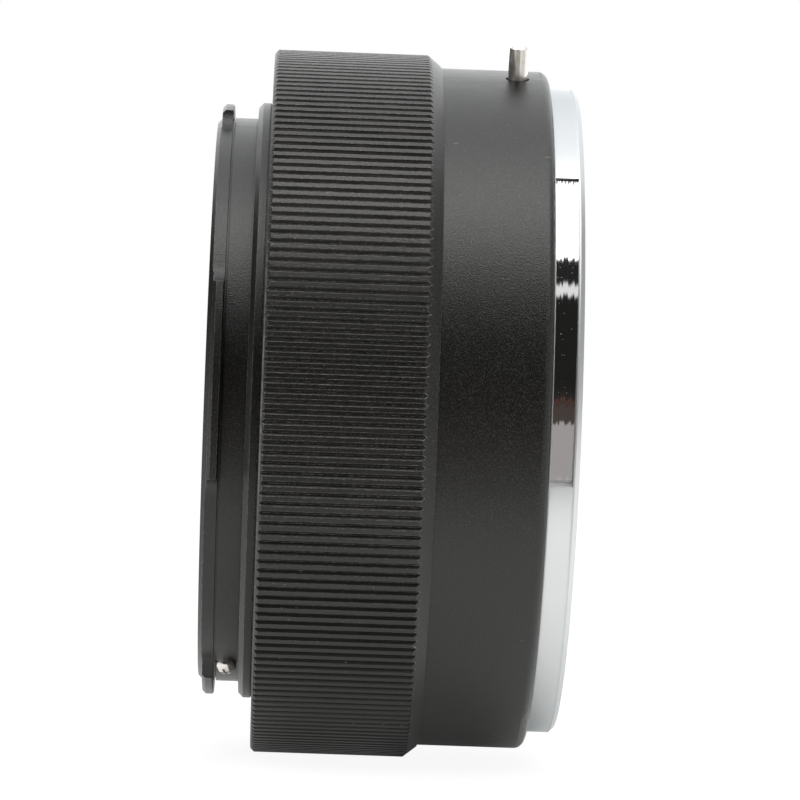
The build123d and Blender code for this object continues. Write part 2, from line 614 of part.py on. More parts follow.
def make_lock_slider():
    # The ramp lies just under the release pin's own ramp and at the same 45 degrees
    ramp_sum = PIN_RAMP_X + (PIN_Z - PIN_HEAD_R) - RAMP_GAP
    side = Plane.XZ * Polyline(
        (SLIDER_INNER_X, SLIDER_BOTTOM_Z),
        (SLIDER_OUTER_X, SLIDER_BOTTOM_Z),
        (SLIDER_OUTER_X, ramp_sum - SLIDER_OUTER_X),
        (SLIDER_POST_X, ramp_sum - SLIDER_POST_X),
        (SLIDER_POST_X, SLIDER_TOP_Z),
        (SLIDER_INNER_X, SLIDER_TOP_Z),
        close=True,
    )
    block = extrude(make_face(side), SLIDER_HALF_WIDTH, both=True)
    plan = RectangleRounded(SLIDER_OUTER_X - SLIDER_INNER_X, 2 * SLIDER_HALF_WIDTH, SLIDER_CORNER_R)
    floor = Pos((SLIDER_INNER_X + SLIDER_OUTER_X) / 2, 0, SLIDER_BOTTOM_Z) * plan
    block &= extrude(floor, SLIDER_TOP_Z - SLIDER_BOTTOM_Z)
    block -= axial_rod(SPRING_BORE_R, SLIDER_BOTTOM_Z - OVERCUT, SPRING_BORE_TOP_Z, SPRING_X)
    spigot_z = SLIDER_TOP_Z - LOCK_PIN_SPIGOT_LENGTH
    block -= axial_rod(LOCK_PIN_SPIGOT_R, spigot_z, SLIDER_TOP_Z + OVERCUT, LOCK_X)
    return block


def make_lock_pin():
    tip_z = LENS_FACE_Z + LOCK_PIN_PROUD
    spigot_z = SLIDER_TOP_Z - LOCK_PIN_SPIGOT_LENGTH
    pin = turned(
        (0, spigot_z),
        (LOCK_PIN_SPIGOT_R, spigot_z),
        (LOCK_PIN_SPIGOT_R, SLIDER_TOP_Z),
        (LOCK_PIN_R, SLIDER_TOP_Z),
        (LOCK_PIN_R, tip_z - LOCK_PIN_CHAMFER),
        (LOCK_PIN_R - LOCK_PIN_CHAMFER, tip_z),
        (0, tip_z),
    )
    return Pos(LOCK_X, 0, 0) * pin


def make_lock_spring():
    low = POCKET_FLOOR_Z + SPRING_WIRE_R
    high = SPRING_BORE_TOP_Z - SPRING_WIRE_R
    coil = Helix(pitch=(high - low) / SPRING_TURNS, height=high - low, radius=SPRING_R)
    start = coil.location_at(0).position
    section = Plane(origin=start, z_dir=coil.tangent_at(0)) * Circle(SPRING_WIRE_R)
    return Pos(SPRING_X, 0, low) * sweep(section, path=coil)


def make_release_pin():
    # Turned about Z first, with the outer tip up, and then laid along +X
    body = turned(
        (0, PIN_HEAD_INNER_X),
        (PIN_HEAD_R, PIN_HEAD_INNER_X),
        (PIN_HEAD_R, PIN_HEAD_OUTER_X),
        (PIN_R, PIN_HEAD_OUTER_X),
        (PIN_R, PIN_TIP_X - PIN_TIP_CHAMFER),
        (PIN_R - PIN_TIP_CHAMFER, PIN_TIP_X),
        (0, PIN_TIP_X),
    )
    pin = Pos(0, 0, PIN_Z) * Rot(0, 90, 0) * body
    low_z = PIN_Z - PIN_HEAD_R
    ramp_length = PIN_RAMP_X - PIN_HEAD_INNER_X + OVERCUT
    corner = Plane.XZ * Polyline(
        (PIN_RAMP_X + OVERCUT, low_z - OVERCUT),
        (PIN_RAMP_X - ramp_length, low_z + ramp_length),
        (PIN_RAMP_X - ramp_length, low_z - OVERCUT),
        close=True,
    )
    return pin - extrude(make_face(corner), PIN_HEAD_R + OVERCUT, both=True)


PIECES = {
    "camera_bayonet": make_camera_bayonet,
    "bayonet_screws": make_bayonet_screws,
    "bayonet_stop_screw": make_stop_screw,
    "camera_index_dot": make_camera_dot,
    "main_barrel": make_main_barrel,
    "lens_index_dot": make_lens_dot,
    "aperture_ring": make_aperture_ring,
    "front_slip_washer": make_front_slip_washer,
    "rear_slip_washer": make_rear_slip_washer,
    "aperture_lever": make_aperture_lever,
    "lever_screws": make_lever_screws,
    "lens_mount_plate": make_lens_mount_plate,
    "lens_mount_screws": make_lens_mount_screws,
    "bayonet_leaf_springs": make_leaf_springs,
    "leaf_spring_rivets": make_leaf_rivets,
    "lock_slider": make_lock_slider,
    "lock_pin": make_lock_pin,
    "lock_spring": make_lock_spring,
    "release_pin": make_release_pin,
}

os.makedirs("parts", exist_ok=True)
for node, make in PIECES.items():
    export_step(make(), f"parts/{node}.step")
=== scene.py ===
import json
import math

import bpy
from mathutils import Matrix, Vector


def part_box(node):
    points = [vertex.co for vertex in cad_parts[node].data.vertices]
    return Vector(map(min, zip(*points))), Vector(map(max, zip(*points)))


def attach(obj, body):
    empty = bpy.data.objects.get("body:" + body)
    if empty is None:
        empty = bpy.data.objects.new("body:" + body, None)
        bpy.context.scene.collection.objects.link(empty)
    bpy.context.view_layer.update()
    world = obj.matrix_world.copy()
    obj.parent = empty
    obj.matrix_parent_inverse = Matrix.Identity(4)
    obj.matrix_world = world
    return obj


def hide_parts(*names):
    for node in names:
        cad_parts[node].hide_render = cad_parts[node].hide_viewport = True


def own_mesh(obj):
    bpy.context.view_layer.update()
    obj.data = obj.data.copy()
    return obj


# Looks of the lens mount adapter: materials, studio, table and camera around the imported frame.
# The part stands on its camera end. In the photograph it lies on its ribbed rim with the lens end to the right.
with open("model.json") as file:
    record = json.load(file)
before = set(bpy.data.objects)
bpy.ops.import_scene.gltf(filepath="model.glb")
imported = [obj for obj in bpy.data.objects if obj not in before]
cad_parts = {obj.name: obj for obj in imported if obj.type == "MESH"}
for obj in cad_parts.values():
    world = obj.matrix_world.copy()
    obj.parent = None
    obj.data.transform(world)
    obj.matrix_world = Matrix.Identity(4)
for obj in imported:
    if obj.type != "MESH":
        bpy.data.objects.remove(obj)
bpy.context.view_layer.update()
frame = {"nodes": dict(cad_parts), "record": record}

MM = 0.001

# Directions of the photograph in the part's frame: along the axis, towards the viewer, and up
VIEW_AZIMUTH = math.radians(73.4)
RIGHT = Vector((0.0, 0.0, 1.0))
TO_VIEWER = Vector((math.cos(VIEW_AZIMUTH), math.sin(VIEW_AZIMUTH), 0.0))
UP = TO_VIEWER.cross(RIGHT)

# Camera, as measured from the edges in the photograph
IMAGE_SIZE = 800
FOCAL_PX = 4531.0
CAMERA_DISTANCE = 441.5 * MM
CAMERA_YAW = math.radians(1.184)
CAMERA_ROLL = math.radians(-2.078)
PIVOT = Vector((0.0, 0.0, 13.0 * MM))
PIVOT_PX = (382.5, 404.8)
SENSOR_MM = 36.0
CLIP = (0.01, 10.0)

# Sizes of the part that the materials use
RING_R = 34.1 * MM
RIB_Z = (1.5 * MM, 16.3 * MM)
RIB_DEPTH = 0.28 * MM
LIP_Z = (1.25 * MM, 1.49 * MM)
LIP_R = (RING_R - 0.7 * MM, RING_R - 0.5 * MM)
LUG_GROOVE_Z = (-2.48 * MM, -2.08 * MM)
PLATE_R = 31.25 * MM
NOTCH_Z = (27.84 * MM, 29.92 * MM)
NOTCH_R = (PLATE_R - 1.85 * MM, PLATE_R - 0.08 * MM)
NOTCH_HIGH_END = math.radians(29.8)
NOTCH_LOW_END = math.radians(86.0)
LENS_FACE_Z = 30.5 * MM
BEVEL_Z = LENS_FACE_Z - 0.4 * MM

# Edges: samples of the rounding, and the cosine between the rounded and the plain normal, from a face to an edge
BEVEL_SAMPLES = 6
EDGE_COSINES = (0.985, 0.905)


class Tree:
    """Adds nodes to a node tree and links them."""

    def __init__(self, tree):
        self.tree = tree
        tree.nodes.clear()

    def add(self, kind, inputs=None, **settings):
        node = self.tree.nodes.new(kind)
        for name, value in settings.items():
            setattr(node, name, value)
        for name, value in (inputs or {}).items():
            self.feed(node.inputs[name], value)
        return node

    def feed(self, socket, value):
        if isinstance(value, bpy.types.NodeSocket):
            self.tree.links.new(value, socket)
        else:
            socket.default_value = value

    def math(self, operation, *values):
        node = self.add("ShaderNodeMath", operation=operation)
        for socket, value in zip(node.inputs, values):
            self.feed(socket, value)
        return node.outputs[0]

    def times(self, first, *others):
        """Product of numbers."""
        for other in others:
            first = self.math("MULTIPLY", first, other)
        return first

    def minus(self, a, b):
        return self.math("SUBTRACT", a, b)

    def absolute(self, value):
        return self.math("ABSOLUTE", value)

    def dot(self, a, b):
        node = self.add("ShaderNodeVectorMath", operation="DOT_PRODUCT")
        self.feed(node.inputs[0], a)
        self.feed(node.inputs[1], b)
        return node.outputs["Value"]

    def step(self, value, low, high, to_low=0.0, to_high=1.0):
        """Smooth step of a value between two limits."""
        inputs = {"Value": value, "From Min": low, "From Max": high, "To Min": to_low, "To Max": to_high}
        return self.add("ShaderNodeMapRange", inputs, interpolation_type="SMOOTHSTEP").outputs["Result"]

    def band(self, value, low, high, soft):
        """One inside a band and zero outside it."""
        rise = self.step(value, low - soft, low + soft)
        fall = self.step(value, high - soft, high + soft, 1.0, 0.0)
        return self.times(rise, fall)

    def ramp(self, factor, stops):
        node = self.add("ShaderNodeValToRGB", {"Fac": factor})
        elements = node.color_ramp.elements
        while len(elements) < len(stops):
            elements.new(0.5)
        for element, (position, _) in zip(elements, stops):
            element.position = position
        for element, (_, colour) in zip(elements, stops):
            element.color = (*colour, 1.0)
        return node.outputs["Color"]

    def noise(self, vector, scale, detail=2.0, roughness=0.5):
        inputs = {"Vector": vector, "Scale": scale, "Detail": detail, "Roughness": roughness}
        return self.add("ShaderNodeTexNoise", inputs).outputs["Fac"]

    def combine(self, x, y, z):
        return self.add("ShaderNodeCombineXYZ", {"X": x, "Y": y, "Z": z}).outputs["Vector"]

    def mix(self, factor, a, b):
        """Mix of two colours."""
        node = self.add("ShaderNodeMix", data_type="RGBA")
        self.feed(node.inputs["Factor"], factor)
        self.feed(node.inputs[6], a if isinstance(a, bpy.types.NodeSocket) else (*a, 1.0))
        self.feed(node.inputs[7], b if isinstance(b, bpy.types.NodeSocket) else (*b, 1.0))
        return node.outputs[2]

    def blend(self, factor, a, b):
        """Mix of two numbers."""
        node = self.add("ShaderNodeMix", data_type="FLOAT")
        for name, value in (("Factor", factor), ("A", a), ("B", b)):
            self.feed(node.inputs[name], value)
        return node.outputs["Result"]

    def bump(self, height, distance, normal=None):
        inputs = {"Height": height, "Distance": distance, "Strength": 1.0}
        if normal is not None:
            inputs["Normal"] = normal
        return self.add("ShaderNodeBump", inputs).outputs["Normal"]


# Fine marks: feed and lean of the tool that cut the notch, and fibres as angle, height, length and lean
CUT_FEED = 0.15 * MM
CUT_LEAN = 0.013
FIBRE_WIDTH = 0.07 * MM
FIBRES = (
    (25.4, 18.5 * MM, 0.42 * MM, -25.0),
    (27.9, 27.0 * MM, 0.62 * MM, -22.0),
    (113.9, 16.2 * MM, 0.50 * MM, 60.0),
    (210.0, 21.0 * MM, 0.55 * MM, 35.0),
    (301.0, 24.2 * MM, 0.40 * MM, -50.0),
)


class Surface(Tree):
    """Material with the cylinder coordinates of the part at hand."""

    def __init__(self, name):
        self.material = bpy.data.materials.new(name)
        self.material.use_nodes = True
        super().__init__(self.material.node_tree)
        self.place = self.add("ShaderNodeTexCoord").outputs["Object"]
        parts = self.add("ShaderNodeSeparateXYZ", {"Vector": self.place}).outputs
        self.x, self.y, self.z = parts["X"], parts["Y"], parts["Z"]
        self.radius = self.math("SQRT", self.math("ADD", self.times(self.x, self.x), self.times(self.y, self.y)))
        self.angle = self.math("ARCTAN2", self.y, self.x)
        self.arc = self.times(self.angle, RING_R)
        self.out_x = self.math("DIVIDE", self.x, self.radius)
        self.out_y = self.math("DIVIDE", self.y, self.radius)

    def rounded(self, radius):
        """Normal with softly broken edges."""
        return self.add("ShaderNodeBevel", {"Radius": radius}, samples=BEVEL_SAMPLES).outputs["Normal"]

    def edge(self, rounded):
        """Mask that is one on the edges, where the rounded normal leaves the plain one."""
        plain = self.add("ShaderNodeNewGeometry").outputs["Normal"]
        return self.step(self.dot(rounded, plain), *EDGE_COSINES)

    def outward(self):
        """Part of the normal that points away from the axis: one on outer walls and minus one in bores."""
        away = self.combine(self.out_x, self.out_y, 0.0)
        return self.dot(self.add("ShaderNodeNewGeometry").outputs["Normal"], away)

    def specks(self, cell, biggest, bare):
        """Sparse dust: a mask of small dots scattered over the turned surface. The bare share has none."""
        place = self.combine(self.arc, self.z, 0.0)
        inputs = {"Vector": place, "Scale": 1.0 / cell}
        node = self.add("ShaderNodeTexVoronoi", inputs, voronoi_dimensions="2D")
        chance = self.add("ShaderNodeSeparateColor", {"Color": node.outputs["Color"]}).outputs["Red"]
        size = self.step(chance, bare, 1.0, 0.0, biggest / cell)
        return self.math("LESS_THAN", node.outputs["Distance"], size)

    def fibre(self, angle, height, length, lean):
        """Mask of a short fibre that lies on the turned surface."""
        u = self.minus(self.arc, math.radians(angle) * RING_R)
        v = self.minus(self.z, height)
        cosine, sine = math.cos(math.radians(lean)), math.sin(math.radians(lean))
        along = self.math("ADD", self.times(v, cosine), self.times(u, sine))
        across = self.minus(self.times(u, cosine), self.times(v, sine))
        reach = self.math("LESS_THAN", self.absolute(along), length / 2)
        return self.times(reach, self.math("LESS_THAN", self.absolute(across), FIBRE_WIDTH / 2))

    def tool_marks(self, normal):
        """Normal of a mirror cut by a lathe tool: each turn of the cut leans a little, up or down the rim."""
        column = self.math("FLOOR", self.math("DIVIDE", self.z, CUT_FEED))
        turn = self.add("ShaderNodeTexWhiteNoise", {"W": column}, noise_dimensions="1D").outputs["Value"]
        lean = self.times(self.minus(turn, 0.5), CUT_LEAN)
        tilt = self.combine(self.times(self.out_y, lean, -1.0), self.times(self.out_x, lean), 0.0)
        leant = self.add("ShaderNodeVectorMath", operation="ADD")
        self.feed(leant.inputs[0], normal)
        self.feed(leant.inputs[1], tilt)
        unit = self.add("ShaderNodeVectorMath", operation="NORMALIZE")
        self.feed(unit.inputs[0], leant.outputs["Vector"])
        return unit.outputs["Vector"]

    def finish(self, colour, roughness, normal, **others):
        """Shader and output of the material. Other inputs go by the names of the shader's sockets."""
        inputs = {"Base Color": colour, "Roughness": roughness, "Normal": normal}
        for name, value in others.items():
            inputs[name.replace("_", " ").title().replace("Ior", "IOR")] = value
        shader = self.add("ShaderNodeBsdfPrincipled", inputs)
        self.add("ShaderNodeOutputMaterial", {"Surface": shader.outputs["BSDF"]})
        return self.material


# Black anodising. LIMITS are those of a step: where it begins, where it ends and, if given, its values there.
# HEIGHTS are those of a band, as its low end, high end and softness, and SHARES are its values outside and inside.
# A height is minus one on the underside and one on top, as the part lies in the photograph.
# SPECK_BARE is the share of cells without a speck, on plain surfaces and on the ribs.
ANODISED_TINTS = ((0.0010, 0.0010, 0.0008), (0.0028, 0.0027, 0.0023))
ANODISED_CLOUD_SCALE = 90.0
ANODISED_ROUGHNESS = (0.31, 0.37)
ANODISED_ROUGHNESS_SCALE = 600.0
ANODISED_IOR = 1.52
ANODISED_EDGE_R = 0.08 * MM
GRAIN_SCALE = 7600.0
GRAIN_DETAIL = 1.0
GRAIN_ROUGHNESS = 0.6
GRAIN_DEPTH = 33.0e-6
FLECK_SCALE = 8200.0
FLECK_LIMITS = (0.43, 0.80)
FLECK_HEIGHTS = (-0.25, 0.80, 0.22)
FLECK_SHARES = (0.30, 1.0)
FLECK_TINT = (0.030, 0.029, 0.027)
RIB_SOFT = 0.05 * MM
RIB_R_LIMITS = (RING_R - 2.0 * RIB_DEPTH, RING_R - 1.5 * RIB_DEPTH)
GROOVE_R_LIMITS = (RING_R - 0.02 * MM, RING_R - 0.8 * RIB_DEPTH)
GROOVE_ROUGHNESS = 0.52
# Painted shade: on the underside the grooves of the ribs turn to black metal, which takes away their shine.
GROOVE_SHADE_LIMITS = (-0.55, -0.85, 0.0, 0.9)
BORE_LIMITS = (-0.3, -0.6)
BORE_ROUGHNESS = 0.62
ROUGHENED_SHARE = 0.6
# Dust in the grooves of the ribs, strongest on top and faded on the underside: partly dust, partly painted light
# on top and painted shade underneath.
DUST_SCALE = 420.0
DUST_LIMITS = (0.35, 0.65, 0.35, 1.0)
DUST_LIT_TOP_LIMITS = (0.1, 0.95, 0.14, 1.0)
DUST_SHADED_UNDER_LIMITS = (-0.75, -0.35, 0.2, 1.0)
DUST_AND_LIGHT_TINT = (0.088, 0.080, 0.069)
# Lighter edges, partly wear and partly painted glints. They are left out on the underside of the ribs and in the
# groove beside the lugs, as painted shade.
WEAR_AND_GLINT_SCALE = 3600.0
WEAR_AND_GLINT_LIMITS = (0.42, 0.64, 0.08, 1.0)
GLINT_SHADE_UNDER_LIMITS = (-0.25, -0.75)
WEAR_AND_GLINT_TINT = (0.40, 0.39, 0.37)
# Painted highlight along the front lip of the ribbed ring, strongest at middle heights.
LIP_SOFT = 0.03 * MM
LIP_SCALE = 1100.0
LIP_LIMITS = (0.34, 0.62, 0.25, 1.0)
LIP_HEIGHTS = (-0.3, 0.45, 0.25)
LIP_SHARES = (0.2, 1.0)
LIP_HIGHLIGHT_TINT = (0.150, 0.146, 0.142)
SPECK_CELL = 1.3 * MM
SPECK_SIZE = 0.05 * MM
SPECK_BARE = (0.95, 0.70)
SPECK_TINT = (0.20, 0.19, 0.17)


def black_anodising():
    """Bead-blasted black anodised aluminium with dust specks and a few fibres. Edges are lightened as wear and as
    painted glints, groove dust is partly painted light on top and painted shade underneath, the front lip of the
    ring carries a painted highlight, and the low grooves a painted shade.
    """
    s = Surface("satin_black_anodising")
    rounded = s.rounded(ANODISED_EDGE_R)
    height = s.math("DIVIDE", s.dot(s.place, UP), s.radius)
    ribs = s.times(s.band(s.z, *RIB_Z, RIB_SOFT), s.step(s.radius, *RIB_R_LIMITS))
    groove = s.times(ribs, s.step(s.radius, *GROOVE_R_LIMITS))
    bore = s.step(s.outward(), *BORE_LIMITS)

    fleck = s.step(s.noise(s.place, FLECK_SCALE, 0.0), *FLECK_LIMITS)
    fleck = s.times(fleck, s.blend(s.band(height, *FLECK_HEIGHTS), *FLECK_SHARES))
    # Groove dust, raised on top as painted light and faded on the underside as painted shade.
    dust_and_top_light = s.times(groove, s.step(s.noise(s.place, DUST_SCALE, 3.0), *DUST_LIMITS))
    dust_and_top_light = s.times(dust_and_top_light, s.step(height, *DUST_LIT_TOP_LIMITS), s.step(height, *DUST_SHADED_UNDER_LIMITS))
    # Painted shade: no lightened edges on the underside of the ribs and in the groove beside the lugs. Elsewhere
    # the edges are lightened, partly as wear, partly as painted glints.
    shade_without_glint = s.times(ribs, s.step(height, *GLINT_SHADE_UNDER_LIMITS))
    shade_without_glint = s.math("MAXIMUM", shade_without_glint, s.band(s.z, *LUG_GROOVE_Z, RIB_SOFT))
    wear_and_glint = s.times(s.edge(rounded), s.step(s.noise(s.place, WEAR_AND_GLINT_SCALE, 2.0), *WEAR_AND_GLINT_LIMITS), s.minus(1.0, shade_without_glint))
    # Painted highlight along the front lip of the ribbed ring, strongest at middle heights.
    lip = s.times(s.band(s.z, *LIP_Z, LIP_SOFT), s.step(s.radius, *LIP_R))
    lip = s.times(lip, s.step(s.noise(s.place, LIP_SCALE, 3.0), *LIP_LIMITS))
    lip = s.times(lip, s.blend(s.band(height, *LIP_HEIGHTS), *LIP_SHARES))
    dust = s.specks(SPECK_CELL, SPECK_SIZE, s.blend(ribs, *SPECK_BARE))
    for fibre in FIBRES:
        dust = s.math("MAXIMUM", dust, s.fibre(*fibre))

    colour = s.mix(s.noise(s.place, ANODISED_CLOUD_SCALE, 3.0), *ANODISED_TINTS)
    layers = ((fleck, FLECK_TINT), (dust_and_top_light, DUST_AND_LIGHT_TINT), (wear_and_glint, WEAR_AND_GLINT_TINT), (lip, LIP_HIGHLIGHT_TINT), (dust, SPECK_TINT))
    for mask, tint in layers:
        colour = s.mix(mask, colour, tint)
    roughness = s.blend(s.noise(s.place, ANODISED_ROUGHNESS_SCALE), *ANODISED_ROUGHNESS)
    roughness = s.blend(s.times(groove, ROUGHENED_SHARE), roughness, GROOVE_ROUGHNESS)
    roughness = s.blend(s.times(bore, ROUGHENED_SHARE), roughness, BORE_ROUGHNESS)
    grain = s.noise(s.place, GRAIN_SCALE, GRAIN_DETAIL, GRAIN_ROUGHNESS)
    normal = s.bump(grain, GRAIN_DEPTH, rounded)
    # Painted shade: on the underside the grooves of the ribs turn to black metal, which takes away their shine.
    shaded_low_grooves = s.times(groove, s.step(height, *GROOVE_SHADE_LIMITS))
    return s.finish(colour, roughness, normal, metallic=shaded_low_grooves, IOR=ANODISED_IOR)


BLACKENED_SCALE = 900.0
BLACKENED_TINTS = ((0.030, 0.030, 0.033), (0.055, 0.055, 0.058))
BLACKENED_EDGE_R = 0.05 * MM
BLACKENED_EDGE_SHARE = 0.6
BLACKENED_EDGE_TINT = (0.20, 0.19, 0.18)
BLACKENED_ROUGHNESS = (0.34, 0.48)
BLACKENED_DEPTH = 2.0e-6
BLACKENED_METALLIC = 0.7


def blackened_steel():
    s = Surface("blackened_steel")
    rounded = s.rounded(BLACKENED_EDGE_R)
    mottle = s.noise(s.place, BLACKENED_SCALE, 4.0)
    colour = s.mix(mottle, *BLACKENED_TINTS)
    colour = s.mix(s.times(s.edge(rounded), BLACKENED_EDGE_SHARE), colour, BLACKENED_EDGE_TINT)
    normal = s.bump(mottle, BLACKENED_DEPTH, rounded)
    return s.finish(colour, s.blend(mottle, *BLACKENED_ROUGHNESS), normal, metallic=BLACKENED_METALLIC)


TURNED_SCALE = 26000.0
TURNED_DEPTH = 0.4e-6
BRIGHT_EDGE_R = 0.04 * MM
BRIGHT_TINTS = ((0.79, 0.77, 0.73), (0.70, 0.65, 0.58))
STAIN_SCALE = 1400.0
STAIN_LIMITS = (0.5, 0.8)
STAIN_EDGE_LIMITS = (0.40, 0.60)
STAIN_EDGE_TINT = (0.40, 0.27, 0.13)
BRIGHT_UPPER_Z = (5.0 * MM, 10.0 * MM)
BRIGHT_ROUGHNESS = (0.15, 0.23)
BRIGHT_METALLIC = 0.87


def bright_steel():
    """Turned bright steel of the screws and pins. Those near the lens end are a little rougher."""
    s = Surface("bright_turned_steel")
    rounded = s.rounded(BRIGHT_EDGE_R)
    turned = s.noise(s.combine(s.x, 0.0, 0.0), TURNED_SCALE, 1.0)
    stain = s.noise(s.place, STAIN_SCALE, 3.0)
    colour = s.mix(s.step(stain, *STAIN_LIMITS), *BRIGHT_TINTS)
    colour = s.mix(s.times(s.edge(rounded), s.step(stain, *STAIN_EDGE_LIMITS)), colour, STAIN_EDGE_TINT)
    upper = s.step(s.z, *BRIGHT_UPPER_Z)
    roughness = s.blend(upper, BRIGHT_ROUGHNESS[0], s.blend(turned, *BRIGHT_ROUGHNESS))
    normal = s.bump(turned, TURNED_DEPTH, rounded)
    return s.finish(colour, roughness, normal, metallic=BRIGHT_METALLIC)


DRAWN_SCALE = 3000.0
DRAWN_TINTS = ((0.46, 0.46, 0.46), (0.58, 0.57, 0.55))
DRAWN_ROUGHNESS = (0.22, 0.36)
DRAWN_DEPTH = 0.8e-6


def spring_steel():
    s = Surface("spring_steel")
    drawn = s.noise(s.place, DRAWN_SCALE, 2.0)
    normal = s.bump(drawn, DRAWN_DEPTH)
    return s.finish(s.mix(drawn, *DRAWN_TINTS), s.blend(drawn, *DRAWN_ROUGHNESS), normal, metallic=1.0)


MILLED_SCALE = 9000.0
MILLED_EDGE_R = 0.05 * MM
MILLED_TINTS = ((0.62, 0.44, 0.17), (0.72, 0.53, 0.24))
MILLED_ROUGHNESS = (0.24, 0.36)
MILLED_DEPTH = 1.0e-6


def slider_brass():
    s = Surface("milled_brass")
    milled = s.noise(s.combine(s.x, 0.0, s.z), MILLED_SCALE, 1.0)
    normal = s.bump(milled, MILLED_DEPTH, s.rounded(MILLED_EDGE_R))
    return s.finish(s.mix(milled, *MILLED_TINTS), s.blend(milled, *MILLED_ROUGHNESS), normal, metallic=1.0)


# Lens plate: satin rim, bright notch with a painted shade as a dark toothed band at its high end, its lower wall
# matt and whitened as painted light, and lapped face.
# NOTCH_END_SHADE is the least length of the painted shade band and what its teeth add to it, both as angles.
PLATE_EDGE_R = 0.05 * MM
PLATE_TINTS = ((0.590, 0.606, 0.616), (0.616, 0.632, 0.640))
PLATE_CLOUD_SCALE = 150.0
PLATE_EDGE_TINT = (0.68, 0.69, 0.70, 1.0)
BLAST_SCALE = 9000.0
BLAST_DEPTH = 0.8e-6
BLAST_ROUGHNESS = (0.26, 0.34)
STRIP_ROUGHNESS = 0.58
STRIP_Z_LIMITS = (BEVEL_Z, BEVEL_Z - 0.02 * MM)
FACE_Z_LIMITS = (LENS_FACE_Z - 0.03 * MM, LENS_FACE_Z - 0.01 * MM)
FACE_TINT = (0.450, 0.460, 0.466)
LAP_SCALE = 16000.0
LAP_STRETCH = 0.01
LAP_DEPTH = 0.5e-6
LAP_ROUGHNESS = (0.27, 0.37)
NOTCH_Z_SOFT = 0.01 * MM
NOTCH_R_SOFT = 0.03 * MM
NOTCH_OUTWARD_LIMITS = (0.80, 0.90)
NOTCH_TINT = (0.70, 0.70, 0.71)
NOTCH_ROUGHNESS = 0.050
PIT_CELL = 0.55 * MM
PIT_SIZE = 0.035 * MM
PIT_BARE = 0.72
PIT_ROUGHNESS = 0.70
# Painted shade: a dark toothed band at the high end of the notch.
NOTCH_END_SHADE = (math.radians(0.40), math.radians(0.9))
NOTCH_END_SHADE_SCALE = 6500.0
NOTCH_END_SHADE_LIMITS = (0.36, 0.64)
NOTCH_END_SHADE_FADE = (0.006, -0.008)
NOTCH_END_SHADE_TINT = (0.075, 0.075, 0.078)
# Painted light: only the lower end wall of the notch, which faces up, is whitened and made matt; the upper end
# wall keeps the plating.
WALL_ANGLE_LIMITS = (NOTCH_LOW_END - 0.01, NOTCH_LOW_END)
LIT_WALL_TINT = (0.72, 0.70, 0.71)


def plated_brass():
    """Satin plated rim with a bright turned notch and a lapped front face."""
    s = Surface("satin_plated_brass")
    rounded = s.rounded(PLATE_EDGE_R)
    between = s.band(s.z, *NOTCH_Z, NOTCH_Z_SOFT)
    pocket = s.times(between, s.band(s.radius, *NOTCH_R, NOTCH_R_SOFT))
    notch = s.times(pocket, s.step(s.outward(), *NOTCH_OUTWARD_LIMITS))
    # Painted light: the lower end wall of the notch, which faces up, is whitened and made matt.
    wall = s.times(s.minus(pocket, notch), s.step(s.angle, *WALL_ANGLE_LIMITS))
    strip = s.times(s.minus(1.0, between), s.step(s.z, *STRIP_Z_LIMITS))
    face = s.step(s.z, *FACE_Z_LIMITS)
    pits = s.times(notch, s.specks(PIT_CELL, PIT_SIZE, PIT_BARE))
    # Painted shade: a dark toothed band at the high end of the notch.
    teeth = s.step(s.noise(s.combine(s.z, 0.0, 0.0), NOTCH_END_SHADE_SCALE, 0.0), *NOTCH_END_SHADE_LIMITS)
    notch_end_shade_end = s.math("MULTIPLY_ADD", teeth, NOTCH_END_SHADE[1], NOTCH_HIGH_END + NOTCH_END_SHADE[0])
    notch_end_shade = s.times(notch, s.step(s.minus(s.angle, notch_end_shade_end), *NOTCH_END_SHADE_FADE))
    blast = s.noise(s.place, BLAST_SCALE, 2.0)
    lap = s.noise(s.combine(s.radius, s.times(s.arc, LAP_STRETCH), 0.0), LAP_SCALE, 2.0)

    colour = s.mix(s.noise(s.place, PLATE_CLOUD_SCALE), *PLATE_TINTS)
    for mask, tint in ((face, FACE_TINT), (notch, NOTCH_TINT), (notch_end_shade, NOTCH_END_SHADE_TINT), (wall, LIT_WALL_TINT)):
        colour = s.mix(mask, colour, tint)
    roughness = s.blend(s.math("MAXIMUM", strip, pocket), s.blend(blast, *BLAST_ROUGHNESS), STRIP_ROUGHNESS)
    roughness = s.blend(face, roughness, s.blend(lap, *LAP_ROUGHNESS))
    roughness = s.blend(notch, roughness, NOTCH_ROUGHNESS)
    roughness = s.blend(pits, roughness, PIT_ROUGHNESS)
    normal = s.mix(face, s.bump(blast, BLAST_DEPTH, rounded), s.bump(lap, LAP_DEPTH, rounded))
    normal = s.mix(notch, normal, s.tool_marks(rounded))
    metal = s.minus(1.0, wall)
    return s.finish(colour, roughness, normal, metallic=metal, specular_tint=PLATE_EDGE_TINT)


PLASTIC_SCALE = 500.0
PLASTIC_TINTS = ((0.018, 0.018, 0.018), (0.030, 0.030, 0.030))
PLASTIC_ROUGHNESS = (0.42, 0.58)
PLASTIC_DEPTH = 3.0e-6


def slip_plastic():
    s = Surface("slip_plastic")
    cloud = s.noise(s.place, PLASTIC_SCALE, 3.0)
    normal = s.bump(cloud, PLASTIC_DEPTH)
    return s.finish(s.mix(cloud, *PLASTIC_TINTS), s.blend(cloud, *PLASTIC_ROUGHNESS), normal)


ENAMEL_SCALE = 1500.0
ENAMEL_TINTS = ((0.50, 0.022, 0.016), (0.60, 0.035, 0.024))
ENAMEL_PEEL_SCALE = 4000.0
ENAMEL_ROUGHNESS = (0.22, 0.34)
ENAMEL_DEPTH = 4.0e-6


